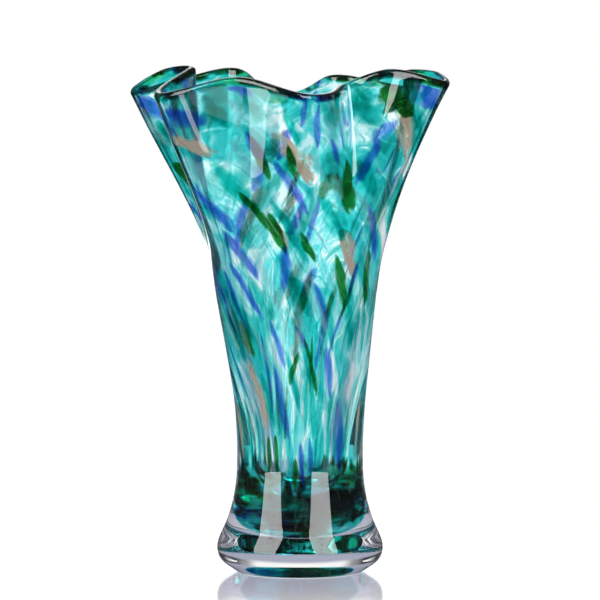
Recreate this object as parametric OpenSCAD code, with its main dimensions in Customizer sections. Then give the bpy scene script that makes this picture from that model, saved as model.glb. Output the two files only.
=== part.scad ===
// Hand blown art glass vase with a ruffled lip, in millimetres, +Z up.
// The origin is the centre of the flat foot. The vase is a stack of glass layers, gathered one
// over another on the blowpipe: a clear inner gather round the hollow, a teal colour coat on it,
// stretched chips of coloured glass on the coat, and a clear outer casing that ends in the foot.
// Every layer follows one surface, wall(), which is a trumpet with a lip pulled into six lobes.

/* [Body] */
// Height of the highest fold of the lip
vase_h = 303; // [240:1:360]
// Radius of the flat ring that the foot rests on
rest_r = 38; // [34:0.5:40]
// Largest radius of the foot
foot_r = 49.9; // [46:0.1:54]
// Radius of the waist above the foot
waist_r = 38; // [36:0.1:42]
// Mean radius of the lip
lip_r = 80; // [76:0.5:90]

/* [Lip] */
// How strongly the lip is pulled into lobes, 1 being as blown
ruffle = 1; // [0.5:0.05:1.05]
// Height at which the lobes begin
ruffle_from = 165; // [150:1:180]
// How far the upper body leans to one side, as a hand blown body does
body_lean = 2.8; // [0:0.1:4]

/* [Layers] */
// Depth of the clear casing over the colour, on the upper wall
casing_t = 2; // [1.6:0.1:2.4]
// Depth of the band that the chips lie in
chip_band_t = 0.7; // [0.6:0.05:0.8]
// Thickness of the colour coat
coat_t = 0.7; // [0.5:0.05:0.9]
// Thickness of the clear inner gather, on the upper wall
gather_t = 1.8; // [1.6:0.1:2.2]
// How far the casing laps over the ends of the inner layers at the lip
lip_lap = 3; // [2.5:0.5:6]
// Radius of the colour bulb inside the foot, where its bottom starts to turn in
bulb_r = 27.9; // [26:0.1:28.5]
// Height of the bottom of the colour bulb above the table
bulb_z = 16; // [12:0.5:18]
// Height of the bottom of the hollow above the table
hollow_z = 42; // [38:0.5:52]

/* [Chips] */
// Rows of chips up the wall
chip_rows = 9; // [5:1:10]
// Chips in the lowest row, each row above having one more
chips_in_low_row = 10; // [8:1:11]
// Lean of the chips across the wall, in degrees for each millimetre of height
chip_lean = -0.22; // [-0.3:0.02:0.3]
// Seed for the places and sizes of the chips
chip_seed = 7; // [1:1:99]

/* [Smoothness] */
// Flats round each layer
segments = 72; // [48:12:72]

/* [Hidden] */

// Heights below are written for a vase whose highest fold is at 305.2 and whose mean lip is at
// 290, and the reaches in lobes for a mean lip of radius 80.
highest_fold = 305.2;
outline_top = 290;
mean_reach = 80;
tall = vase_h / highest_fold;
step = 360 / segments;

// Outer outline as [radius, height], from the foot to the mean lip.
outline = [
    [rest_r, 0], [foot_r - 2.9, 6.5], [foot_r, 13], [foot_r - 0.9, 20],
    [mix(foot_r, waist_r, 0.48), 31], [mix(foot_r, waist_r, 0.79), 43],
    [waist_r + 0.3, 58], [waist_r, 76],
    [mix(waist_r, lip_r, 0.033), 102], [mix(waist_r, lip_r, 0.105), 126],
    [mix(waist_r, lip_r, 0.185), 150], [mix(waist_r, lip_r, 0.27), 174],
    [mix(waist_r, lip_r, 0.35), 192], [mix(waist_r, lip_r, 0.455), 208],
    [mix(waist_r, lip_r, 0.6), 228], [mix(waist_r, lip_r, 0.75), 248],
    [mix(waist_r, lip_r, 0.885), 268], [lip_r, outline_top]];

// Tips and folds of the lip as [angle, reach from the axis, height, how late the wall turns
// out to them]. A tip reaches out and droops, and a fold stands high and close to the axis.
lobes = [
    [6, 70, 300, 2.2], [36, 93, 288, 2.2], [66, 63, 297, 1.8], [95, 90, 284, 1.8],
    [125, 69, 301, 1.6], [155, 109, 287, 1.45], [171, 82, 300, 1.5], [187, 65, 302, 1.6],
    [215, 99, 286, 1.55], [246, 83, 296, 1.8], [276, 86, 286, 2.4], [305, 53, 293, 1.9],
    [320, 73, 301, 2.6], [341, 95, 293, 3.4], [353, 86, 299, 3.2]];

// Depth of the colour below the outer face as [depth, height]: heavy glass in the foot, thin above.
casing_depth = [
    [mix(foot_r, waist_r, 0.565) - bulb_r, 34], [13.8, 43], [13.3, 55], [13.3, 72], [12.2, 92],
    [10.2, 112], [7.5, 135], [4.6, 158], [casing_t + 0.8, 180], [casing_t, 200],
    [casing_t, outline_top]];
// Thickness of the inner gather as [thickness, height].
gather_depth = [[3.8, 34], [3.8, 72], [2.6, 130], [gather_t, 190], [gather_t, outline_top]];

// Heights of the rings of points that each face is drawn with.
outer_rings = [0, 2, 6.5, 13, 20, 31, 43, 58, 76, 96, 118, 140, 160, 178, 193, 207, 220, 232,
               244, 256, 267, 277, 284, outline_top];
core_from = 34;
hollow_from = 70;
core_top = outline_top - lip_lap;
core_rings = [core_from, 43, 55, hollow_from, 92, 115, 138, 158, 176, 192, 206, 220, 232, 244,
              256, 267, 277, core_top];
hollow_rings = [for (h = core_rings) if (h >= hollow_from) h];
bowl_turns = [20, 42, 64, 80];
// How square a bowl is in section: 1 is a quarter ellipse, and less is squarer.
round_bowl = 1;
square_bowl = 0.62;
lip_turns = [30, 60, 90, 120, 150];

// Colours of the chips, in the order of NODES, and how many in each run of ten have them.
DEEP_TEAL = 0;
AQUA = 1;
COBALT = 2;
GREEN = 3;
SAND = 4;
chip_run = [DEEP_TEAL, COBALT, AQUA, GREEN, DEEP_TEAL, AQUA, SAND, COBALT, DEEP_TEAL, GREEN];

function mix(a, b, t) = a + (b - a) * t;
function clamp(x, low, high) = min(max(x, low), high);
function smooth(x) = let (t = clamp(x, 0, 1)) t * t * (3 - 2 * t);
function unit(v) = v / norm(v);
function degrees(x) = x * 180 / PI;

// A curve with even slope through four values at four places, between the middle two.
function curve(x, x0, x1, x2, x3, v0, v1, v2, v3) =
    let (run = x2 - x1,
         t = (x - x1) / run,
         m1 = (v2 - v0) / (x2 - x0) * run,
         m2 = (v3 - v1) / (x3 - x1) * run)
    v1 * (2 * pow(t, 3) - 3 * pow(t, 2) + 1) + m1 * (pow(t, 3) - 2 * pow(t, 2) + t)
    + v2 * (3 * pow(t, 2) - 2 * pow(t, 3)) + m2 * (pow(t, 3) - pow(t, 2));

// The value of a table of [value, height] at a height.
function span_at(table, h, i = 0) =
    i >= len(table) - 2 || h < table[i + 1][1] ? i : span_at(table, h, i + 1);
function along(table, h) =
    let (i = span_at(table, h),
         last = len(table) - 1,
         a = table[max(i - 1, 0)],
         b = table[i],
         c = table[i + 1],
         d = table[min(i + 2, last)])
    curve(h, a[1], b[1], c[1], d[1], a[0], b[0], c[0], d[0]);

// A column of lobes at any angle, going round.
function lobe(i, column) =
    let (n = len(lobes), turn = floor(i / n), l = lobes[i - turn * n])
    column == 0 ? l[0] + 360 * turn : l[column];
function lobe_before(a, i = 0) =
    i >= len(lobes) - 1 || a < lobe(i + 1, 0) ? i : lobe_before(a, i + 1);
function round_lip(angle, column) =
    let (first = lobes[0][0],
         a = first + (angle - first) - 360 * floor((angle - first) / 360),
         i = lobe_before(a))
    curve(a, lobe(i - 1, 0), lobe(i, 0), lobe(i + 1, 0), lobe(i + 2, 0),
          lobe(i - 1, column), lobe(i, column), lobe(i + 1, column), lobe(i + 2, column));

// Heights over which the body leans away, and over which depth turns from level to square.
lean_from = 90;
lean_over = 105;
square_from = 75;
square_over = 75;

// A point of the outer face, at an angle and a height on the outline.
function wall(a, h) =
    let (turned_out = ruffle * pow(clamp((h - ruffle_from) / (outline_top - ruffle_from), 0, 1),
                                   round_lip(a, 3)),
         r = along(outline, h) + turned_out * (round_lip(a, 1) - mean_reach),
         z = h + turned_out * (round_lip(a, 2) - outline_top))
    [r * cos(a) - body_lean * smooth((h - lean_from) / lean_over), r * sin(a), z * tall];

function wall_up(a, h) = unit(wall(a, h + 0.5) - wall(a, h - 0.5));
function wall_out(a, h) =
    unit(cross(wall(a + 0.5, h) - wall(a - 0.5, h), wall(a, h + 0.5) - wall(a, h - 0.5)));
// Depth is measured level in the foot and square to the wall higher up.
function depth_way(a, h) =
    unit(mix([cos(a), sin(a), 0], wall_out(a, h), smooth((h - square_from) / square_over)));
function inside(a, h, depth) = wall(a, h) - depth_way(a, h) * depth;

// Depths of the faces between the layers, from the outer face.
function chip_face(h) = along(casing_depth, h);
function coat_face(h) = chip_face(h) + chip_band_t;
function gather_face(h) = coat_face(h) + coat_t;
function hollow_face(h) = gather_face(h) + along(gather_depth, h);

// A ring of points, one for each flat.
function ring(h, depth) = [for (i = [0:segments - 1]) inside(i * step, h, depth)];
// Rings of a bowl that closes a face below a height, over to a centre point.
function bowl(h, depth, bottom, square) =
    let (rim = inside(0, h, depth), r = norm([rim[0], rim[1]]))
    [for (t = bowl_turns)
        let (r_t = r * pow(cos(t), square), z_t = mix(rim[2], bottom, pow(sin(t), square)))
        [for (i = [0:segments - 1]) [r_t * cos(i * step), r_t * sin(i * step), z_t]]];
// Rings over the rounded lip, from the outer face to the face of the hollow.
function lip() =
    let (h = outline_top, half = hollow_face(h) / 2)
    [for (t = lip_turns) [for (i = [0:segments - 1])
        let (a = i * step)
        inside(a, h, half) + depth_way(a, h) * half * cos(t) + wall_up(a, h) * half * sin(t)]];

function reversed(list) = [for (i = [len(list) - 1:-1:0]) list[i]];

// A closed solid through rings of points, with a centre point at each end.
module ring_solid(rings, start, end) {
    n = segments;
    last = len(rings) - 1;
    points = concat([start], [for (r = rings) each r], [end]);
    end_i = len(points) - 1;
    function at(r, i) = 1 + r * n + i % n;
    polyhedron(points, concat(
        [for (i = [0:n - 1]) [0, at(0, i), at(0, i + 1)]],
        [for (r = [0:last - 1], i = [0:n - 1]) [at(r, i), at(r + 1, i), at(r, i + 1)]],
        [for (r = [0:last - 1], i = [0:n - 1]) [at(r, i + 1), at(r + 1, i), at(r + 1, i + 1)]],
        [for (i = [0:n - 1]) [at(last, i), end_i, at(last, i + 1)]]), convexity = 6);
}

// Clear casing: foot, waist, outer wall and the rounded lip that laps over the inner layers.
module outer_casing() {
    outer = [for (h = outer_rings) ring(h, 0)];
    lap = [ring(outline_top, hollow_face(outline_top)), ring(core_top, hollow_face(core_top))];
    inner = [for (h = reversed(core_rings)) ring(h, chip_face(h))];
    bottom = bowl(core_from, chip_face(core_from), bulb_z, square_bowl);
    color([0.93, 0.97, 0.97, 0.35])
        ring_solid(concat(outer, lip(), lap, inner, bottom), [0, 0, 0], [0, 0, bulb_z]);
}

// A layer under the casing, as a cup with a rounded bottom.
module cup(rings, bowl_rings, bottom, inner_rings, inner_bowl_rings, inner_bottom) {
    ring_solid(concat(reversed(bowl_rings), rings, reversed(inner_rings), inner_bowl_rings),
               [0, 0, bottom], [0, 0, inner_bottom]);
}

module teal_coat() {
    bottom = bulb_z + chip_band_t;
    color([0.1, 0.68, 0.64])
        cup([for (h = core_rings) ring(h, coat_face(h))],
            bowl(core_from, coat_face(core_from), bottom, square_bowl), bottom,
            [for (h = core_rings) ring(h, gather_face(h))],
            bowl(core_from, gather_face(core_from), bottom + coat_t, square_bowl),
            bottom + coat_t);
}

module inner_gather() {
    bottom = bulb_z + chip_band_t + coat_t;
    color([0.85, 0.95, 0.93, 0.4])
        cup([for (h = core_rings) ring(h, gather_face(h))],
            bowl(core_from, gather_face(core_from), bottom, square_bowl), bottom,
            [for (h = hollow_rings) ring(h, hollow_face(h))],
            bowl(hollow_from, hollow_face(hollow_from), hollow_z, round_bowl), hollow_z);
}

// Chips, each in its own cell of the wall. A chip is pointed at both ends, and its widths at
// three stations between them follow a leaf shape.
stations = [0.22, 0.5, 0.8];
widths = [0.75, 1, 0.6];
half_widths = [2.2, 4.4];
flat_enough = 0.35;
chips_from = 60;
cell_h = (core_top - chips_from) / chip_rows;
function cell_a(row) = 360 / (chips_in_low_row + row);
function dice(row, i) = rands(0, 1, 5, chip_seed + 100 * row + i);
function chip_colour(row, i) = chip_run[floor(dice(row, i)[4] * 9.99)];
function chip_low(row, i) = chips_from + cell_h * (row + 0.1 + 0.15 * dice(row, i)[0]);
function chip_high(row, i) = chips_from + cell_h * (row + 0.75 + 0.2 * dice(row, i)[1]);
function chip_mid_a(row, i) = cell_a(row) * (i + 0.5 * (row % 2) + 0.15 * (dice(row, i)[2] - 0.5));
function chip_half_a(row, i) =
    degrees(mix(half_widths[0], half_widths[1], dice(row, i)[3])
            / along(outline, chip_low(row, i)));
// No chip lies where the wall is folded too sharply for it.
function lies_flat(row, i) =
    let (h = mix(chip_low(row, i), chip_high(row, i), stations[2]),
         mid = chip_mid_a(row, i) + chip_lean * (h - (chip_low(row, i) + chip_high(row, i)) / 2),
         half = chip_half_a(row, i),
         sides = (wall(mid - half, h) + wall(mid + half, h)) / 2)
    norm(sides - wall(mid, h)) < flat_enough;

// Points of one chip: both ends and both sides, on its outer face or its inner face.
function chip_points(row, i, depth) =
    let (low = chip_low(row, i),
         high = chip_high(row, i),
         mid = chip_mid_a(row, i),
         half = chip_half_a(row, i))
    [for (k = [0:7])
        let (side = k == 0 || k == 4 ? 0 : (k < 4 ? 1 : -1),
             s = k == 0 ? 0 : k == 4 ? 4 : k < 4 ? k : 8 - k,
             t = s == 0 ? 0 : s == 4 ? 1 : stations[s - 1],
             wide = side == 0 ? 0 : side * widths[s - 1] * half,
             h = mix(low, high, t))
        inside(mid + wide + chip_lean * (h - (low + high) / 2), h, chip_face(h) + depth)];

chip_skin = [[0, 1, 7], [1, 2, 7], [7, 2, 6], [2, 3, 6], [6, 3, 5], [3, 4, 5]];

// All chips of one colour, as separate closed solids.
module chips(colour) {
    cells = [for (row = [0:chip_rows - 1], i = [0:chips_in_low_row + row - 1])
        if (chip_colour(row, i) == colour && lies_flat(row, i)) [row, i]];
    clear = 0.08;
    points = [for (c = cells) each concat(
        chip_points(c[0], c[1], clear), chip_points(c[0], c[1], chip_band_t - clear))];
    faces = [for (c = [0:len(cells) - 1]) let (o = 16 * c) each concat(
        [for (f = chip_skin) [o + f[2], o + f[1], o + f[0]]],
        [for (f = chip_skin) [o + 8 + f[0], o + 8 + f[1], o + 8 + f[2]]],
        [for (k = [0:7]) let (m = (k + 1) % 8) [o + k, o + m, o + 8 + k]],
        [for (k = [0:7]) let (m = (k + 1) % 8) [o + m, o + 8 + m, o + 8 + k]])];
    polyhedron(points, faces, convexity = 4);
}

module deep_teal_chips() { color([0.0, 0.45, 0.42]) chips(DEEP_TEAL); }
module pale_aqua_chips() { color([0.65, 0.93, 0.9]) chips(AQUA); }
module cobalt_chips() { color([0.12, 0.22, 0.78]) chips(COBALT); }
module green_aventurine_chips() { color([0.0, 0.34, 0.12]) chips(GREEN); }
module sand_chips() { color([0.75, 0.62, 0.52]) chips(SAND); }

inner_gather();
teal_coat();
deep_teal_chips();
pale_aqua_chips();
cobalt_chips();
green_aventurine_chips();
sand_chips();
outer_casing();
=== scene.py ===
"""Looks of a hand blown art glass vase: one clear body of glass, with the colour inside its wall.

Lengths are in millimetres until a mesh is made. Angles go round the vase in degrees, from +X and
counter-clockwise seen from above, so 270 faces the camera. Every layer follows one surface,
wall(angle, height), and lies at its own depth below it. The studio is in metres.
"""

import math

import bpy
import numpy as np
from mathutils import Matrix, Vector


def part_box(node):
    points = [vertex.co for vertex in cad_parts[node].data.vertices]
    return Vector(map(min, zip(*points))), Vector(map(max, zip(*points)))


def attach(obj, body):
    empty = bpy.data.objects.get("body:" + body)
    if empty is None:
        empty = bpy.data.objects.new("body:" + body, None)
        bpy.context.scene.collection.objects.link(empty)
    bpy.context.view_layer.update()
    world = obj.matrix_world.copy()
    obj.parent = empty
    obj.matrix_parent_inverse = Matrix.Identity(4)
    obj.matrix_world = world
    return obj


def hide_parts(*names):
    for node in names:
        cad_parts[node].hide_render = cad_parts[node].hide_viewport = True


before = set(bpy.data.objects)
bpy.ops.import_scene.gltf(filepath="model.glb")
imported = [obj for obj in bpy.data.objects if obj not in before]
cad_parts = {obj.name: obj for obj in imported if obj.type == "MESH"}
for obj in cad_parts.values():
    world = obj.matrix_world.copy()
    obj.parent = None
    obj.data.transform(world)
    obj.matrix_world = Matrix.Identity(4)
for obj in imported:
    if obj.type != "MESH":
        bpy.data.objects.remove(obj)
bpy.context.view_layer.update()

# --- The wall -------------------------------------------------------------------------------

VASE_H = 303.0
HIGHEST_FOLD = 305.2  # of OUTLINE and LOBES, before wall() scales it to VASE_H
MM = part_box("outer_casing")[1].z / VASE_H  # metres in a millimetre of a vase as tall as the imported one
OUTLINE_TOP = 290.0
REST_R, FOOT_R, WAIST_R, LIP_R = 38.0, 49.9, 38.0, 80.0
RUFFLE_FROM = 165.0
BODY_LEAN, BODY_LEAN_FROM, BODY_LEAN_OVER = 2.8, 90, 105
SQUARE_FROM, SQUARE_OVER = 75, 75


def between(a, b, t):
    return a + (b - a) * t


def smooth(x):
    t = np.clip(x, 0.0, 1.0)
    return t * t * (3.0 - 2.0 * t)


# Tables hold (height, value) unless they say otherwise.
OUTLINE = [
    (0, REST_R), (6.5, FOOT_R - 2.9), (13, FOOT_R), (20, FOOT_R - 0.9),
    (31, between(FOOT_R, WAIST_R, 0.48)), (43, between(FOOT_R, WAIST_R, 0.79)),
    (58, WAIST_R + 0.3), (76, WAIST_R),
    (102, between(WAIST_R, LIP_R, 0.033)), (126, between(WAIST_R, LIP_R, 0.105)),
    (150, between(WAIST_R, LIP_R, 0.185)), (174, between(WAIST_R, LIP_R, 0.27)),
    (192, between(WAIST_R, LIP_R, 0.35)), (208, between(WAIST_R, LIP_R, 0.455)),
    (228, between(WAIST_R, LIP_R, 0.6)), (248, between(WAIST_R, LIP_R, 0.75)),
    (268, between(WAIST_R, LIP_R, 0.885)), (OUTLINE_TOP, LIP_R),
]
# Tips and folds of the lip: angle, reach, height, and how late the wall turns out to them.
LOBES = [
    (6, 70, 300, 2.2), (36, 93, 288, 2.2), (66, 63, 297, 1.8), (95, 90, 284, 1.8),
    (125, 69, 301, 1.6), (155, 109, 287, 1.45), (171, 82, 300, 1.5), (187, 65, 302, 1.6),
    (215, 99, 286, 1.55), (246, 83, 296, 1.8), (276, 86, 286, 2.4), (305, 53, 293, 1.9),
    (320, 73, 301, 2.6), (341, 95, 293, 3.4), (353, 86, 299, 3.2),
]
REACH, HEIGHT, LATE = 1, 2, 3
CASING_T, CHIP_BAND_T, COAT_T, GATHER_T = 2.0, 0.7, 0.7, 1.8
BULB_R, BULB_Z, HOLLOW_Z = 27.9, 16.0, 42.0
CORE_FROM, HOLLOW_FROM = 34.0, 70.0
BULB_SQUARE = 0.62
CASING_DEPTH = [
    (34, between(FOOT_R, WAIST_R, 0.565) - BULB_R), (43, 13.8), (55, 13.3), (72, 13.3),
    (92, 12.2), (112, 10.2), (135, 7.5), (158, 4.6), (180, CASING_T + 0.8), (200, CASING_T),
    (OUTLINE_TOP, CASING_T),
]
GATHER_DEPTH = [(34, 3.8), (72, 3.8), (130, 2.6), (190, GATHER_T), (OUTLINE_TOP, GATHER_T)]


def curve(x, xs, vs):
    """A curve of even slope through the values vs at the places xs."""
    xs, vs = np.asarray(xs, float), np.asarray(vs, float)
    last = len(xs) - 1
    i = np.clip(np.searchsorted(xs, x, side="right") - 1, 0, last - 1)
    before, after = np.maximum(i - 1, 0), np.minimum(i + 2, last)
    run = xs[i + 1] - xs[i]
    t = (x - xs[i]) / run
    m1 = (vs[i + 1] - vs[before]) / (xs[i + 1] - xs[before]) * run
    m2 = (vs[after] - vs[i]) / (xs[after] - xs[i]) * run
    return (
        vs[i] * (2 * t**3 - 3 * t**2 + 1) + m1 * (t**3 - 2 * t**2 + t)
        + vs[i + 1] * (3 * t**2 - 2 * t**3) + m2 * (t**3 - t**2)
    )


def along(table, h):
    """A table's value at a height, on a curve."""
    return curve(h, [p[0] for p in table], [p[1] for p in table])


def straight(table, h):
    """A table's value at a height, on straight lines."""
    return np.interp(h, [p[0] for p in table], [p[1] for p in table])


def round_lip(angle, column):
    """A column of LOBES at any angle."""
    around = [(p[0] + turn, p[column]) for turn in (-360, 0, 360) for p in LOBES]
    return along(around, np.mod(angle, 360.0))


def wall(angle, h):
    """Points of the outer face."""
    angle, h = np.broadcast_arrays(np.asarray(angle, float), np.asarray(h, float))
    rise = np.clip((h - RUFFLE_FROM) / (OUTLINE_TOP - RUFFLE_FROM), 0.0, 1.1)
    turned = rise ** round_lip(angle, LATE)
    r = along(OUTLINE, h) + turned * (round_lip(angle, REACH) - LIP_R)
    z = h + turned * (round_lip(angle, HEIGHT) - OUTLINE_TOP)
    a = np.radians(angle)
    lean = BODY_LEAN * smooth((h - BODY_LEAN_FROM) / BODY_LEAN_OVER)
    return np.stack([r * np.cos(a) - lean, r * np.sin(a), z * VASE_H / HIGHEST_FOLD], axis=-1)


def unit(v):
    return v / np.linalg.norm(v, axis=-1, keepdims=True)


def wall_up(angle, h):
    return unit(wall(angle, h + 0.5) - wall(angle, h - 0.5))


def wall_out(angle, h):
    round_way = wall(angle + 0.5, h) - wall(angle - 0.5, h)
    up_way = wall(angle, h + 0.5) - wall(angle, h - 0.5)
    return unit(np.cross(round_way, up_way))


def depth_way(angle, h):
    """The way that depth is measured: level in the foot, and square to the wall above it."""
    a = np.radians(angle)
    level = np.stack([np.cos(a), np.sin(a), 0 * a], axis=-1)
    square = smooth((h - SQUARE_FROM) / SQUARE_OVER)[..., None]
    return unit(between(level, wall_out(angle, h), square))


def inside(angle, h, depth):
    """Points at a depth below the outer face."""
    angle, h, depth = np.broadcast_arrays(
        np.asarray(angle, float), np.asarray(h, float), np.asarray(depth, float))
    return wall(angle, h) - depth_way(angle, h) * depth[..., None]


def chip_face(h):
    return along(CASING_DEPTH, h)


def hollow_face(h):
    return chip_face(h) + CHIP_BAND_T + COAT_T + along(GATHER_DEPTH, h)


# --- Meshes ---------------------------------------------------------------------------------


def piece(name, points, faces, material, attributes=()):
    """A smooth mesh object from points in millimetres, with its material and attributes."""
    mesh = bpy.data.meshes.new(name)
    mesh.from_pydata((np.asarray(points) * MM).tolist(), [], faces)
    mesh.polygons.foreach_set("use_smooth", [True] * len(mesh.polygons))
    for title, kind, values in attributes:
        layer = mesh.attributes.new(title, kind, "POINT")
        layer.data.foreach_set("vector" if kind == "FLOAT_VECTOR" else "value", np.ravel(values))
    mesh.materials.append(material)
    mesh.update()
    made = bpy.data.objects.new(name, mesh)
    bpy.context.scene.collection.objects.link(made)
    return made


def skin_faces(rows, columns, start=1):
    """Quads between rows of points that go round, facing out where the rows go up."""
    faces = []
    for r in range(rows - 1):
        low, high = start + r * columns, start + (r + 1) * columns
        for c in range(columns):
            n = (c + 1) % columns
            faces.append((low + c, low + n, high + n, high + c))
    return faces


def ring_mesh(rings, start, end):
    """Points and faces of a closed skin through rings of points, closed at both ends."""
    rings = np.asarray(rings)
    rows, columns = rings.shape[:2]
    points = np.concatenate([[start], rings.reshape(-1, 3), [end]])
    last, end_i = 1 + (rows - 1) * columns, len(points) - 1
    faces = [(0, 1 + (c + 1) % columns, 1 + c) for c in range(columns)]
    faces += skin_faces(rows, columns)
    faces += [(last + c, last + (c + 1) % columns, end_i) for c in range(columns)]
    return points, faces


SEGMENTS = 288
ANGLES = np.arange(SEGMENTS) * 360.0 / SEGMENTS


def bowl(h, depth, bottom, square=1.0, turns=14):
    """Rings of a round bowl that closes a face below a height, going down."""
    rim = inside(ANGLES, h, depth)
    r, z = np.linalg.norm(rim[0, :2]), rim[0, 2]
    a = np.radians(ANGLES)
    rings = []
    for t in np.radians(np.linspace(0, 90, turns + 2)[1:-1]):
        z_t = z - (z - bottom) * math.sin(t) ** square
        r_t = r * math.cos(t) ** square
        rings.append(np.stack([r_t * np.cos(a), r_t * np.sin(a), 0 * a + z_t], axis=-1))
    return rings


def ripple(angle, h):
    """The slight unevenness of the face that was blown, in millimetres."""
    a = np.radians(angle)
    return (
        0.16 * np.sin(3 * a + h / 17.0) + 0.10 * np.sin(5 * a - h / 9.0 + 1.0)
        + 0.07 * np.sin(8 * a + h / 23.0 + 2.0)
    ) * smooth((h - HOLLOW_FROM) / 20) * smooth((OUTLINE_TOP - h) / 15)


def glass_body():
    """One body of clear glass, from the foot over the lip and down into the hollow."""
    foot = [0.0, 0.4, 1.2, 2.4, 4.0, 5.8, 7.8, 9.8, 12, 14.2, 16.6, 19, 22, 25, 28, 31, 34.5, 38]
    up = foot + list(np.linspace(42, OUTLINE_TOP, 84))
    outer = [wall(ANGLES, h) for h in up]
    underside = [outer[0] * (k, k, 1) for k in (0.35, 0.7, 0.94)]
    half = hollow_face(OUTLINE_TOP) / 2
    middle = inside(ANGLES, OUTLINE_TOP, half)
    out_way, up_way = depth_way(ANGLES, OUTLINE_TOP), wall_up(ANGLES, OUTLINE_TOP)
    lip = [middle + out_way * half * math.cos(t) + up_way * half * math.sin(t)
           for t in np.radians(np.linspace(0, 180, 13)[1:-1])]
    down = np.linspace(OUTLINE_TOP, HOLLOW_FROM, 76)
    hollow = [inside(ANGLES, h, hollow_face(h) + ripple(ANGLES, h)) for h in down]
    bottom = bowl(HOLLOW_FROM, hollow_face(HOLLOW_FROM), HOLLOW_Z)
    rings = underside + outer + lip + hollow + bottom
    return ring_mesh(rings, (0, 0, 0), (0, 0, HOLLOW_Z * VASE_H / HIGHEST_FOLD))


# How far streaks lean from upright, in degrees, and how far round that has taken them by a height.
STREAK_LEAN = [(60, 1), (110, 5), (150, 14), (190, 27), (230, 30), (290, 26)]
TWIST_H = np.linspace(10, 300, 291)
TWIST = np.cumsum(np.degrees(
    np.tan(np.radians(straight(STREAK_LEAN, TWIST_H))) / along(OUTLINE, TWIST_H)))
BLOWN_R = 30.0
BLOWN_UP = [(20, 0), (60, 20), (90, 32), (130, 50), (170, 71), (210, 95), (250, 121), (290, 150),
            (310, 165)]


def blown(angle, h):
    """Where the glass of a point was on the small bubble, before it was drawn and swung out."""
    a = np.radians(angle + np.interp(h, TWIST_H, TWIST))
    return np.stack([BLOWN_R * np.cos(a), BLOWN_R * np.sin(a), straight(BLOWN_UP, h)], axis=-1)


# In the bulb the colour is deep: partly pooled colour, partly painted shade for the dark that refraction
# and dark reflections give the foot.
DENSITY_AND_SHADE = [(16, 1.7), (20, 4.0), (49, 4.4), (54, 3.0), (58, 1.0), (74, 0.65), (120, 0.65),
           (160, 0.8), (200, 0.9), (280, 1.0)]
# The colour is deepened at the lip: partly colour pooled where the layers fold over, partly painted shade
# for the dark line that refraction of dark surroundings gives the rim.
RIM_POOLING_AND_SHADE, RIM_FROM, RIM_OVER = 3.5, 287, 3
FRONT_DROP, SIDES_OVER_FRONT = 6, 18
TEETH = np.random.default_rng(5).uniform(-9, 8, 41)


def density_and_shade(angle, h):
    """How deep the colour is: pooled in the bulb, to an uneven edge that is higher at the two
    sides, then thin where it was drawn out, and pooled again at the rim. In the bulb and at the
    rim the deep colour is partly pooled colour and partly painted shade."""
    around = np.mod(np.asarray(angle, float), 360.0) / 360.0 * len(TEETH)
    tooth = np.interp(around, np.arange(len(TEETH) + 1), np.append(TEETH, TEETH[0]))
    higher = SIDES_OVER_FRONT * np.cos(np.radians(angle)) ** 2 - FRONT_DROP
    rim = RIM_POOLING_AND_SHADE * smooth((h - RIM_FROM) / RIM_OVER)
    return straight(DENSITY_AND_SHADE, h + tooth - higher) + rim


COAT_OVER_LIP = 1.8


def coat():
    """The colour coat: a thin closed cup under the chips."""
    heights = np.linspace(CORE_FROM, OUTLINE_TOP + COAT_OVER_LIP, 110)
    outer_d, inner_d = CHIP_BAND_T, CHIP_BAND_T + COAT_T
    bottom = BULB_Z + CHIP_BAND_T
    out = [inside(ANGLES, h, chip_face(h) + outer_d) for h in heights]
    back = [inside(ANGLES, h, chip_face(h) + inner_d) for h in heights[::-1]]
    bowl_out = bowl(CORE_FROM, chip_face(CORE_FROM) + outer_d, bottom, BULB_SQUARE)
    bowl_in = bowl(CORE_FROM, chip_face(CORE_FROM) + inner_d, bottom + COAT_T, BULB_SQUARE)
    rings = bowl_out[::-1] + out + back + bowl_in
    points, faces = ring_mesh(rings, (0, 0, bottom), (0, 0, bottom + COAT_T))
    ring_h = (
        [r[0, 2] for r in bowl_out[::-1]] + list(heights) + list(heights[::-1])
        + [r[0, 2] for r in bowl_in]
    )
    angle = np.concatenate([[0.0], np.tile(ANGLES, len(rings)), [0.0]])
    h = np.concatenate([[bottom], np.repeat(ring_h, SEGMENTS), [bottom]])
    place = blown(angle, h)
    from_axis = np.clip(np.hypot(points[:, 0], points[:, 1]) / BULB_R, 0, 1)
    low = h < CORE_FROM
    place[low, :2] *= from_axis[low, None]
    return points, faces, place, density_and_shade(angle, h)


# --- Streaks --------------------------------------------------------------------------------

ALONG, ACROSS = 14, 6
STREAK_T = 0.035
RISE_ALONG_WALL = 0.96
LOWEST, BELOW_LIP = 24, 2.4
STREAK_LENGTH = [(60, 44), (130, 42), (190, 36), (240, 30), (290, 22)]
STREAK_WIDTH = [(60, 5.5), (130, 6.0), (190, 7.5), (240, 9.0), (290, 10.0)]
SPREAD_FROM, SPREAD_TO, MOST_TRIES = 78, 284, 20000
THREADS, THREAD_SEED, WIDEST_THREAD = 150, 21, 1.0
THREAD_MARK = 1.5  # what a thread's edge attribute is raised by, which no streak's reaches
DEGREES_IN_RADIAN = 57.3


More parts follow.
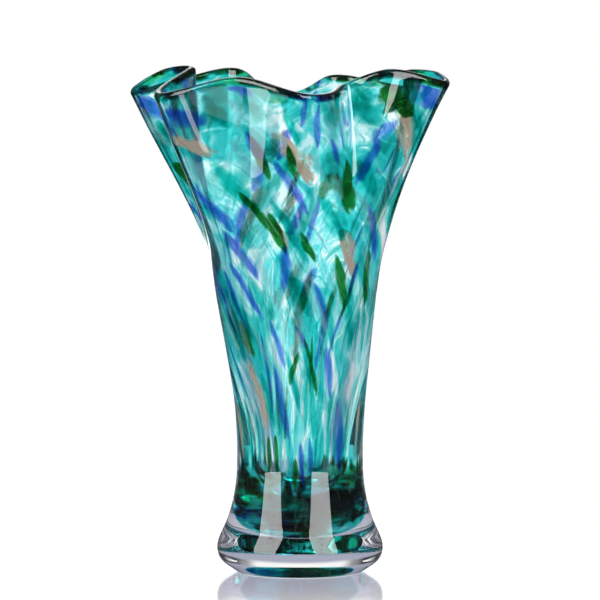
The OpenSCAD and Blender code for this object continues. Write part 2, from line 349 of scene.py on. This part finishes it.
def streak(at, h0, length, width, lean, depth, rng):
    """One leaf of glass in the wall: a closed plate with pointed, uneven edges."""
    s = np.linspace(-1, 1, ALONG)[:, None]
    t = np.linspace(-1, 1, ACROSS)[None, :]
    fat = rng.uniform(-0.35, 0.35)
    bend = rng.uniform(-0.12, 0.12) * width
    shape = (1 - np.abs(s) ** 2.2) ** 0.75 * (1 + fat * s)
    wave = 1 + 0.14 * np.sin(s * rng.uniform(3, 6) + rng.uniform(0, 6)) * t
    across = t * shape * wave * width / 2 + bend * s * s
    run = s * length / 2 + 0 * t
    tilt = math.radians(lean)
    x = run * math.sin(tilt) + across * math.cos(tilt)
    y = run * math.cos(tilt) - across * math.sin(tilt)
    angle = at + np.degrees(x / along(OUTLINE, h0))
    h = np.clip(h0 + y * RISE_ALONG_WALL, LOWEST, OUTLINE_TOP - BELOW_LIP)
    top = inside(angle, h, chip_face(h) + depth)
    under = inside(angle, h, chip_face(h) + depth + STREAK_T)
    edge = 1 - np.maximum(np.abs(t) + 0 * s, np.abs(s) ** 3 + 0 * t)
    return top, under, angle, h, edge


def streak_faces(offset):
    """Faces of one closed plate whose points begin at an offset."""
    def at(side, i, j):
        return offset + side * ALONG * ACROSS + i * ACROSS + j

    faces = []
    for i in range(ALONG - 1):
        for j in range(ACROSS - 1):
            faces.append((at(0, i, j), at(0, i, j + 1), at(0, i + 1, j + 1), at(0, i + 1, j)))
            faces.append((at(1, i, j), at(1, i + 1, j), at(1, i + 1, j + 1), at(1, i, j + 1)))
    rim = [(i, 0) for i in range(ALONG)] + [(ALONG - 1, j) for j in range(1, ACROSS)]
    rim += [(i, ACROSS - 1) for i in range(ALONG - 2, -1, -1)]
    rim += [(0, j) for j in range(ACROSS - 2, 0, -1)]
    for k, here in enumerate(rim):
        there = rim[(k + 1) % len(rim)]
        faces.append((at(0, *here), at(0, *there), at(1, *there), at(1, *here)))
    return faces


def threads():
    """Fine pale lines that were drawn out with the wall."""
    rng = np.random.default_rng(THREAD_SEED)
    for _ in range(THREADS):
        h0 = rng.uniform(95, 235)
        lean = rng.normal(0, 7) - straight(STREAK_LEAN, h0)
        yield rng.uniform(0, 360), h0, rng.uniform(22, 55), rng.uniform(0.5, WIDEST_THREAD), lean


def crowded(at, h0, length, width, places):
    """True where a streak would lie on one of those already placed."""
    for at_2, h_2, length_2, width_2, _ in places:
        gap = abs((at - at_2 + 180) % 360 - 180) * along(OUTLINE, h0) / DEGREES_IN_RADIAN
        if gap < (width + width_2) * 0.75 and abs(h0 - h_2) < (length + length_2) * 0.45:
            return True
    return False


def spread(places, count, longer, wider, rng):
    """Adds a count of streaks between those already placed, evenly over the wall."""
    wanted = len(places) + count
    tries = 0
    while len(places) < wanted and tries < MOST_TRIES:
        tries += 1
        h0 = rng.uniform(SPREAD_FROM, SPREAD_TO)
        if rng.uniform() > along(OUTLINE, h0) / LIP_R:
            continue
        at = rng.uniform(0, 360)
        length = straight(STREAK_LENGTH, h0) * longer * rng.uniform(0.6, 1.3)
        width = straight(STREAK_WIDTH, h0) * wider * rng.uniform(0.6, 1.4)
        if not crowded(at, h0, length, width, places):
            places.append((at, h0, length, width, rng.normal(0, 6) - straight(STREAK_LEAN, h0)))


def streaks(name, node, material, count, depth, longer, wider, seed, kept=(), fine=()):
    """One colour's piece: listed streaks, others spread between them, and threads."""
    rng = np.random.default_rng(seed)
    places = list(kept)
    spread(places, count, longer, wider, rng)
    places += fine
    points, faces, place, edge, dense_and_shade = [], [], [], [], []
    for at, h0, length, width, lean in places:
        faces += streak_faces(len(points) * 2 * ALONG * ACROSS)
        top_depth = depth + rng.uniform(0.0, 0.06)
        top, under, angle, h, rim = streak(at, h0, length, width, lean, top_depth, rng)
        points.append(np.concatenate([top.reshape(-1, 3), under.reshape(-1, 3)]))
        place.append(np.tile(blown(angle, h).reshape(-1, 3), (2, 1)))
        mark = THREAD_MARK if width <= WIDEST_THREAD else 0.0
        edge.append(np.tile(np.ravel(rim), 2) + mark)
        dense_and_shade.append(np.tile(density_and_shade(angle, h).ravel(), 2))
    made = piece(name, np.concatenate(points), faces, material, (
        ("blown", "FLOAT_VECTOR", np.concatenate(place)),
        ("edge", "FLOAT", np.concatenate(edge)),
        ("dense_and_shade", "FLOAT", np.concatenate(dense_and_shade))))
    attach(made, "root")
    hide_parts(node)


# --- Materials ------------------------------------------------------------------------------


WHITE = (1.0, 1.0, 1.0, 1.0)


def grey(level):
    return (level, level, level, 1.0)


class Nodes:
    """A short way to write the node tree of a material, a world or a lamp."""

    def __init__(self, owner):
        owner.use_nodes = True
        self.owner = owner
        self.tree = owner.node_tree
        self.tree.nodes.clear()

    def put(self, value, socket):
        if isinstance(value, bpy.types.NodeSocket):
            self.tree.links.new(value, socket)
        else:
            socket.default_value = value

    def add(self, kind, inputs=(), **settings):
        node = self.tree.nodes.new("ShaderNode" + kind)
        for key, value in settings.items():
            setattr(node, key, value)
        for key, value in dict(inputs).items():
            self.put(value, node.inputs[key])
        return node

    def out(self, surface, kind="OutputMaterial"):
        self.add(kind, {"Surface": surface})
        return self.owner

    def attribute(self, name, output):
        return self.add("Attribute", attribute_name=name).outputs[output]

    def math(self, operation, a, b=0.0, clamp=False):
        return self.add("Math", {0: a, 1: b}, operation=operation, use_clamp=clamp).outputs[0]

    def mix(self, factor, a, b, blend="MIX"):
        node = self.add("Mix", data_type="RGBA", blend_type=blend)
        for key, value in (("Factor_Float", factor), ("A_Color", a), ("B_Color", b)):
            self.put(value, next(s for s in node.inputs if s.identifier == key))
        return next(s for s in node.outputs if s.identifier == "Result_Color")

    def ramp(self, value, stops, interpolation="LINEAR"):
        node = self.add("ValToRGB", {"Fac": value})
        node.color_ramp.interpolation = interpolation
        elements = node.color_ramp.elements
        while len(elements) < len(stops):
            elements.new(0.5)
        for element, (position, colour) in zip(elements, stops):
            element.position = position
            element.color = (*colour[:3], 1.0)
        return node.outputs["Color"]

    def rise(self, value, low, high, start=0.0, end=1.0, shape="SMOOTHSTEP"):
        """From start to end, as a value goes from low to high."""
        return self.add("MapRange", {
            "Value": value, "From Min": low, "From Max": high, "To Min": start, "To Max": end,
        }, interpolation_type=shape).outputs[0]

    def vector(self, operation, a, b):
        return self.add("VectorMath", {0: a, 1: b}, operation=operation).outputs[0]

    def add_times(self, a, factor, b):
        """The vector a times a factor, plus b."""
        return self.add("VectorMath", {0: a, 1: (factor,) * 3, 2: b},
                        operation="MULTIPLY_ADD").outputs[0]

    def noise(self, place, scale, detail, output="Fac"):
        return self.add("TexNoise", {"Vector": place, "Scale": scale,
                                     "Detail": detail}).outputs[output]

    def cells(self, place, scale, softness, channel):
        """A random level for each cell, soft at its edges."""
        found = self.add("TexVoronoi", {"Vector": place, "Scale": scale, "Smoothness": softness},
                         feature="SMOOTH_F1")
        return self.add("SeparateColor", {"Color": found.outputs["Color"]}).outputs[channel]


def clear_glass():
    n = Nodes(bpy.data.materials.new("clear_glass"))
    swirl = n.noise(n.add("TexCoord").outputs["Object"], 16.0, 1.0)
    bump = n.add("Bump", {"Height": swirl, "Strength": 0.2, "Distance": 0.0008})
    shader = n.add("BsdfPrincipled", {
        "Base Color": WHITE, "Roughness": 0.0, "IOR": 1.5,
        "Transmission Weight": 1.0, "Normal": bump.outputs["Normal"]})
    return n.out(shader.outputs[0])


def tinted(n, colour, cloud, cloud_colour):
    """Glass colour seen in the wall: it tints what passes, and a share of it is cloudy."""
    clear = n.add("BsdfTransparent", {"Color": colour})
    glow = n.add("BsdfTranslucent", {"Color": cloud_colour})
    lit = n.add("BsdfDiffuse", {"Color": cloud_colour})
    milky = n.add("MixShader", {0: 0.5, 1: glow.outputs[0], 2: lit.outputs[0]})
    return n.add("MixShader", {0: cloud, 1: clear.outputs[0], 2: milky.outputs[0]}).outputs[0]


CELL_SCALE, SMALL_CELL_SCALE = 0.115, 0.29
POOLED_FROM = 1.4  # density
PALE_VEIN, MILKY_TEAL = (0.82, 0.96, 0.96, 1.0), (0.8, 0.97, 0.96, 1.0)
COAT_COLOURS = [
    (0.16, (0.09, 0.70, 0.69)), (0.32, (0.35, 0.85, 0.86)), (0.45, (0.82, 0.96, 0.98)),
    (0.58, (0.17, 0.78, 0.78)), (0.72, (0.92, 0.99, 1.0)), (0.84, (1.0, 1.0, 1.0))]
POOLED_COLOURS = [
    (0.34, (0.16, 0.50, 0.78)), (0.42, (0.08, 0.66, 0.66)), (0.52, (0.10, 0.72, 0.66)),
    (0.58, (0.08, 0.66, 0.34)), (0.64, (0.12, 0.76, 0.74))]


def coat_glass():
    """The teal coat: patches and pale veins drawn out with the wall, and darker where pooled;
    in the bulb and at the rim that darkening is partly painted shade.
    """
    n = Nodes(bpy.data.materials.new("teal_coat_glass"))
    place = n.attribute("blown", "Vector")
    shift = n.vector("SUBTRACT", n.noise(place, 0.06, 1.0, "Color"), (0.5, 0.5, 0.5))
    drawn = n.vector("MULTIPLY", n.add_times(shift, 16.0, place), (1.0, 1.0, 0.42))
    level = n.mix(0.16, n.cells(drawn, CELL_SCALE, 0.25, "Red"),
                  n.cells(drawn, SMALL_CELL_SCALE, 0.2, "Green"))
    colour = n.ramp(level, COAT_COLOURS)
    edges = n.add("TexVoronoi", {"Vector": drawn, "Scale": CELL_SCALE}, feature="DISTANCE_TO_EDGE")
    vein = n.ramp(edges.outputs["Distance"], [(0.0, grey(1)), (0.14, grey(0))], "EASE")
    broken = n.ramp(n.noise(place, 0.12, 1.0), [(0.46, grey(0)), (0.64, grey(0.5))])
    share = n.math("MULTIPLY", vein, broken)
    veined = n.mix(share, colour, PALE_VEIN)
    deep = n.attribute("dense_and_shade", "Fac")
    position = n.add("TexCoord").outputs["Object"]
    layered = n.vector("MULTIPLY", position, (1.0, 1.0, 2.2))
    uneven = n.rise(n.noise(layered, 44.0, 2.0), 0.45, 0.56, 2.2, -0.1, "LINEAR")
    # Above the pooled level the colour deepens further and turns to the pooled colours; in the bulb and at
    # the rim this is partly painted shade.
    extra = n.math("MAXIMUM", n.math("SUBTRACT", deep, POOLED_FROM), 0.0)
    deep = n.math("ADD", n.math("MINIMUM", deep, POOLED_FROM), n.math("MULTIPLY", extra, uneven))
    pooled = n.ramp(n.noise(position, 38.0, 3.0), POOLED_COLOURS)
    full = n.mix(n.math("MULTIPLY", extra, 0.3, clamp=True), veined, pooled)
    tint = n.add("Gamma", {"Color": full, "Gamma": n.math("MULTIPLY", deep, 0.8)})
    cloud = n.add("Math", {0: share, 1: 0.08, 2: 0.02}, operation="MULTIPLY_ADD").outputs[0]
    return n.out(tinted(n, tint.outputs[0], cloud, n.mix(0.5, veined, MILKY_TEAL)))


def flakes(n, shader, full, colour):
    """Aventurine: a layer of tiny metal flakes, each facing its own way."""
    position = n.add("TexCoord").outputs["Object"]
    found = n.add("TexVoronoi", {"Vector": position, "Scale": 2600.0}).outputs["Color"]
    chosen = n.add("SeparateColor", {"Color": found}).outputs["Green"]
    facing = n.vector("SUBTRACT", found, (0.5, 0.5, 0.5))
    turned = n.add_times(facing, 1.1, n.add("NewGeometry").outputs["Normal"])
    flat = n.add("VectorMath", {0: turned}, operation="NORMALIZE")
    metal = n.add("BsdfGlossy", {"Color": colour, "Roughness": 0.25, "Normal": flat.outputs[0]})
    lit = n.math("MULTIPLY", n.math("GREATER_THAN", chosen, 0.55), full)
    share = n.math("MULTIPLY", lit, 0.45)
    return n.add("MixShader", {0: share, 1: shader, 2: metal.outputs[0]}).outputs[0]


def streak_glass(name, deep_colour, thin_colour, cloud, cloud_colour, edge_soft, ragged=1.5,
                 sparkle=None):
    """Streak colour: full in the middle and thin at the edges, uneven along its length."""
    n = Nodes(bpy.data.materials.new(name))
    edge = n.attribute("edge", "Fac")
    place = n.attribute("blown", "Vector")
    fibre = n.noise(n.vector("MULTIPLY", place, (1.0, 1.0, 0.3)), 0.55, 3.0)
    lift = n.math("MULTIPLY", n.math("SUBTRACT", fibre, 0.50), ragged)
    full = n.math("DIVIDE", n.math("ADD", edge, lift), edge_soft, clamp=True)
    colour = n.mix(n.noise(place, 0.16, 1.0), (*deep_colour, 1), (*thin_colour, 1))
    tint = n.mix(full, WHITE, colour)
    deep = n.attribute("dense_and_shade", "Fac")
    # Deeper where the density attribute is high: pooled colour, and in the bulb and at the rim partly
    # painted shade.
    tint = n.add("Gamma", {"Color": tint, "Gamma": n.math("POWER", deep, 0.6)}).outputs[0]
    is_thread = n.math("GREATER_THAN", edge, THREAD_MARK - 0.3)
    tint = n.mix(is_thread, tint, WHITE)
    shader = tinted(n, tint, n.math("MULTIPLY", full, cloud), (*cloud_colour, 1))
    if sparkle is not None:
        shader = flakes(n, shader, full, (*sparkle, 1))
    return n.out(shader)


# --- The vase -------------------------------------------------------------------------------

body_points, body_faces = glass_body()
body = piece("glass_body", body_points, body_faces, clear_glass())
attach(body, "root")
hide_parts("outer_casing", "inner_gather")

coat_points, coat_faces, coat_place, coat_dense_and_shade = coat()
teal = piece("teal_colour_coat", coat_points, coat_faces, coat_glass(), (
    ("blown", "FLOAT_VECTOR", coat_place), ("dense_and_shade", "FLOAT", coat_dense_and_shade)))
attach(teal, "root")
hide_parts("teal_coat")

# Streaks listed one by one: angle, height, length, width, lean.
COBALT_KEPT = [
    (269, 233, 42, 7, -32), (222, 222, 40, 12, -35), (233, 193, 38, 9, -30), (263, 185, 32, 8, 4),
    (252, 140, 34, 6, -12), (300, 122, 36, 8, -12), (321, 84, 50, 13, -8), (272, 66, 32, 5, -6),
    (283, 72, 26, 5, -4), (224, 276, 26, 14, -60), (336, 284, 20, 20, -30), (314, 245, 30, 8, 25),
    (250, 104, 50, 8, -8), (232, 170, 44, 7, -28), (290, 163, 34, 5.5, -20), (273, 144, 18, 4, -24),
    (247, 286, 16, 8, -75), (315, 178, 24, 4.5, 14),
]
GREEN_KEPT = [
    (249, 216, 36, 6.5, -38), (259, 206, 28, 8, -20), (304, 233, 36, 12, -8),
    (278, 198, 22, 5.5, -28), (305, 177, 38, 8, -16), (222, 142, 26, 8, -14),
    (265, 125, 24, 4.5, 20), (229, 72, 26, 4.5, 0),
    (240, 72, 28, 5, -3), (264, 60, 24, 5, 0), (330, 178, 38, 8, -10), (268, 250, 22, 6, -12),
    (324, 277, 24, 15, -60),
]
SAND_KEPT = [
    (272, 251, 36, 15, -34), (331, 261, 32, 16, -24), (224, 109, 48, 9.5, -12),
    (222, 260, 34, 11, -62), (262, 205, 22, 7, -30),
]

streaks("deep_teal_streaks", "deep_teal_chips",
        streak_glass("deep_teal_glass", (0.06, 0.69, 0.63), (0.25, 0.85, 0.83), 0.01,
                     (0.02, 0.45, 0.45), 0.7),
        count=60, depth=0.06, longer=1.2, wider=1.3, seed=11)
streaks("pale_aqua_streaks", "pale_aqua_chips",
        streak_glass("pale_aqua_glass", (0.80, 0.95, 0.96), (0.93, 0.99, 0.99), 0.16,
                     (0.70, 0.93, 0.97), 0.8),
        count=80, depth=0.18, longer=1.0, wider=0.9, seed=12, fine=threads())
streaks("cobalt_streaks", "cobalt_chips",
        streak_glass("cobalt_glass", (0.21, 0.30, 0.88), (0.52, 0.68, 0.98), 0.12,
                     (0.14, 0.30, 0.92), 0.7),
        count=32, depth=0.30, longer=1.0, wider=1.05, seed=13, kept=COBALT_KEPT)
streaks("green_streaks", "green_aventurine_chips",
        streak_glass("green_aventurine_glass", (0.05, 0.38, 0.10), (0.22, 0.72, 0.34), 0.04,
                     (0.02, 0.22, 0.03), 0.5, sparkle=(0.10, 0.45, 0.10)),
        count=18, depth=0.42, longer=0.85, wider=0.8, seed=14, kept=GREEN_KEPT)
streaks("sand_streaks", "sand_chips",
        streak_glass("sand_glass", (0.98, 0.80, 0.70), (1.0, 0.90, 0.84), 0.58,
                     (0.96, 0.74, 0.63), 0.7, ragged=3.2),
        count=11, depth=0.54, longer=1.1, wider=1.2, seed=15, kept=SAND_KEPT)

# --- Studio ---------------------------------------------------------------------------------


def link_to_scene(made):
    bpy.context.scene.collection.objects.link(made)


def stage_mesh(name, points, material):
    """One flat face that isn't part of the vase, its points in metres."""
    mesh = bpy.data.meshes.new(name)
    mesh.from_pydata(points, [], [tuple(range(len(points)))])
    mesh.materials.append(material)
    made = bpy.data.objects.new(name, mesh)
    link_to_scene(made)
    return made


def look_at(made, z):
    """Turns a lamp or camera to a height on the vase's axis, and gives how far that is."""
    way = Vector((0, 0, z)) - made.location
    made.rotation_euler = way.to_track_quat("-Z", "Y").to_euler()
    return way.length


def bearing(n, split):
    """0 straight behind the vase, 0.5 at either side and 1 in front, for a split place."""
    turn = n.math("ARCTAN2", n.math("ABSOLUTE", split.outputs["X"]), split.outputs["Y"])
    return n.math("DIVIDE", turn, math.pi)


def any_of(n, count):
    """1 where a Light Path count is 1 or more."""
    return n.math("MINIMUM", count, 1.0)


FLOOR_R, FLOOR_SIDES, FLOOR_Z = 1.3, 64, -0.0004
# Painted shade on the floor: the first colour near the foot seen straight, the second where it is seen
# through the glass.
FLOOR_SHADE, FLOOR_SHADE_IN_GLASS = (0.61, 0.61, 0.74, 1), (0.50, 0.51, 0.60, 1)
# Colour of the dark flag bands painted on the floor: painted shade.
PAINTED_FLAG_SHADE = (0.05, 0.05, 0.06)


def floor_with_painted_shade():
    """A white acrylic table, lit by its own emission: it mirrors the foot at a low angle, and
    painted shadow makes it dimmer near the foot. Seen through the glass it has painted shade:
    lavender-grey near the vase, and dark flag bands.
    """
    n = Nodes(bpy.data.materials.new("white_acrylic_floor_with_painted_shade"))
    place = n.add("TexCoord").outputs["Object"]
    level = n.vector("MULTIPLY", place, (1.0, 1.0, 0.0))
    far = n.add("VectorMath", {0: level}, operation="LENGTH").outputs["Value"]
    path = n.add("LightPath").outputs
    # Painted shade: dark flag bands by bearing on the floor where it is seen through the glass; far out
    # they fade to white for light that passed colour.
    flags = n.ramp(bearing(n, n.add("SeparateXYZ", {0: place})), [
        (0.0, WHITE), (0.225, WHITE), (0.29, PAINTED_FLAG_SHADE), (0.44, PAINTED_FLAG_SHADE), (0.48, grey(0.9)),
        (0.54, grey(0.9)), (0.62, grey(0.1)), (0.72, WHITE)])
    coloured = any_of(n, path["Transparent Depth"])
    lifted = n.math("MULTIPLY", coloured, n.rise(far, 0.4, 0.9, 0.85, 0.0))
    flags = n.mix(lifted, flags, WHITE)
    # Painted shade: seen through the glass, the floor glows lavender-grey near the vase, fading to white
    # by 0.5 m.
    behind = n.mix(n.rise(far, 0.22, 0.5), FLOOR_SHADE_IN_GLASS, WHITE)
    in_glass = any_of(n, path["Transmission Depth"])
    # Painted shadow: seen straight, the floor's glow is lavender-grey near the foot, fading to white by
    # 0.2 m.
    seen = n.mix(in_glass, n.mix(n.rise(far, 0.05, 0.20), FLOOR_SHADE, WHITE),
                 n.mix(1.0, behind, flags, "MULTIPLY"))
    seen = n.mix(any_of(n, path["Diffuse Depth"]), seen, WHITE)
    lit = n.add("Emission", {"Color": seen, "Strength": 1.0})
    gloss = n.add("BsdfGlossy", {"Color": WHITE, "Roughness": 0.09})
    near_vase = n.math("SUBTRACT", n.rise(far, 0.15, 0.32, 1.0, 0.0), in_glass, clamp=True)
    share = n.math("MULTIPLY", n.add("Fresnel", {"IOR": 1.28}).outputs[0], near_vase)
    shader = n.add("MixShader", {0: share, 1: lit.outputs[0], 2: gloss.outputs[0]})
    return n.out(shader.outputs[0])


def floor():
    turns = np.arange(FLOOR_SIDES) * 2 * math.pi / FLOOR_SIDES
    circle = [(FLOOR_R * math.cos(t), FLOOR_R * math.sin(t), 0) for t in turns]
    made = stage_mesh("floor", circle, floor_with_painted_shade())
    made.location.z = FLOOR_Z
    made.visible_glossy = False


def studio_world():
    """White where the camera looks. Through glass there are dark flags at each side, and in front
    too where it is clear. A face mirrors only the bright back."""
    world = bpy.data.worlds.new("studio")
    bpy.context.scene.world = world
    n = Nodes(world)
    split = n.add("SeparateXYZ", {0: n.add("TexCoord").outputs["Generated"]})
    turn, z = bearing(n, split), split.outputs["Z"]
    path = n.add("LightPath").outputs

    def around(stops):
        return n.ramp(turn, [(degrees / 180.0, colour) for degrees, colour in stops], "EASE")

    def light(colour, strength=1.0):
        return n.add("Background", {"Color": colour, "Strength": strength}).outputs[0]

    def either(question, yes, no):
        return n.add("MixShader", {0: path[question], 1: no, 2: yes}).outputs[0]

    low_sky = around([
        (0, grey(1.05)), (20, WHITE), (30, (0.3, 0.3, 0.32)), (40, (0.04, 0.04, 0.05)),
        (68, (0.04, 0.04, 0.05)), (80, grey(0.9)), (100, grey(0.9)), (112, grey(0.1)),
        (130, grey(0.8))])
    lavender = (0.41, 0.43, 0.54)
    high_sky = around([(0, lavender), (100, lavender), (125, grey(1.3))])
    sky = n.mix(n.rise(z, 0.02, 0.11), low_sky, high_sky)
    front_flag = around([(0, WHITE), (110, WHITE), (122, (0.08, 0.08, 0.09))])
    flag = n.mix(any_of(n, path["Transparent Depth"]), front_flag, WHITE)
    through = light(n.mix(1.0, sky, flag, "MULTIPLY"))
    back = around([(0, WHITE), (8, WHITE), (14, grey(0.07)), (56, grey(0.02))])
    facing = n.add("VectorMath", {0: back, "Scale": n.rise(z, -0.25, -0.1)}, operation="SCALE")
    mirrored = light(facing.outputs[0], 1.8)
    white = light(WHITE)
    seen = either("Is Transmission Ray", through, mirrored)
    seen = either("Diffuse Depth", white, seen)
    n.out(either("Is Camera Ray", white, seen), "OutputWorld")


CARD_DISTANCE = 0.2


def card(name, left, right, low, high, strength):
    """A bright card close in front, which only the glass mirrors: bearings left of the camera."""
    n = Nodes(bpy.data.materials.new(name))
    glow = n.add("Emission", {"Color": WHITE, "Strength": strength})
    corners = []
    for degrees, z in ((left, low), (right, low), (right, high), (left, high)):
        a = math.radians(270 - degrees)
        corners.append((CARD_DISTANCE * math.cos(a), CARD_DISTANCE * math.sin(a), z))
    made = stage_mesh(name, corners, n.out(glow.outputs[0]))
    made.visible_camera = made.visible_diffuse = made.visible_shadow = False
    made.visible_transmission = False


SOFTBOX_DISTANCE, SOFTBOX_LOW, SOFTBOX_POWER, SOFTBOX_AIM = 1.3, -0.03, 29, 0.15
SOFTBOX_WIDTH, SOFTBOX_HEIGHT = 0.85, 1.35
IN_CLEAR_GLASS, IN_COLOURED_GLASS = 0.03, 0.55


def softbox(name, degrees):
    """An upright softbox in front, left of the camera's line. It is dim where light that travels
    in the glass meets it, and dimmest where that light passed no colour."""
    lamp = bpy.data.lights.new(name, "AREA")
    lamp.shape = "RECTANGLE"
    lamp.size, lamp.size_y, lamp.energy = SOFTBOX_WIDTH, SOFTBOX_HEIGHT, SOFTBOX_POWER
    n = Nodes(lamp)
    path = n.add("LightPath").outputs
    in_glass = n.rise(path["Transparent Depth"], 0.0, 1.0, IN_CLEAR_GLASS, IN_COLOURED_GLASS,
                      "LINEAR")
    strength = n.rise(path["Transmission Depth"], 0.0, 1.0, 1.0, in_glass, "LINEAR")
    n.out(n.add("Emission", {"Strength": strength}).outputs[0], "OutputLight")
    made = bpy.data.objects.new(name, lamp)
    a = math.radians(270 - degrees)
    made.location = (SOFTBOX_DISTANCE * math.cos(a), SOFTBOX_DISTANCE * math.sin(a),
                     SOFTBOX_LOW + SOFTBOX_HEIGHT / 2)
    look_at(made, SOFTBOX_AIM)
    link_to_scene(made)


CAMERA_DISTANCE, CAMERA_HEIGHT, CAMERA_AIM, VIEW_WIDTH = 2.6, 0.32, 0.163, 0.360


def camera():
    lens = bpy.data.cameras.new("camera")
    made = bpy.data.objects.new("camera", lens)
    made.location = (0.0, -CAMERA_DISTANCE, CAMERA_HEIGHT)
    lens.sensor_width = 36.0
    lens.lens = lens.sensor_width * look_at(made, CAMERA_AIM) / VIEW_WIDTH
    link_to_scene(made)
    bpy.context.scene.camera = made


floor()
studio_world()
card("card_left", 36, 18, 0.20, 0.24, 1.0)
card("card_far_left", 46, 40, 0.143, 0.24, 5.5)
softbox("softbox_left", 50)
softbox("softbox_right", -36)
camera()

scene = bpy.context.scene
scene.view_settings.view_transform = "Standard"
scene.cycles.max_bounces = 24
scene.cycles.transmission_bounces = 24
scene.cycles.glossy_bounces = 12
scene.cycles.diffuse_bounces = 4
scene.cycles.transparent_max_bounces = 96
scene.cycles.sample_clamp_indirect = 6.0
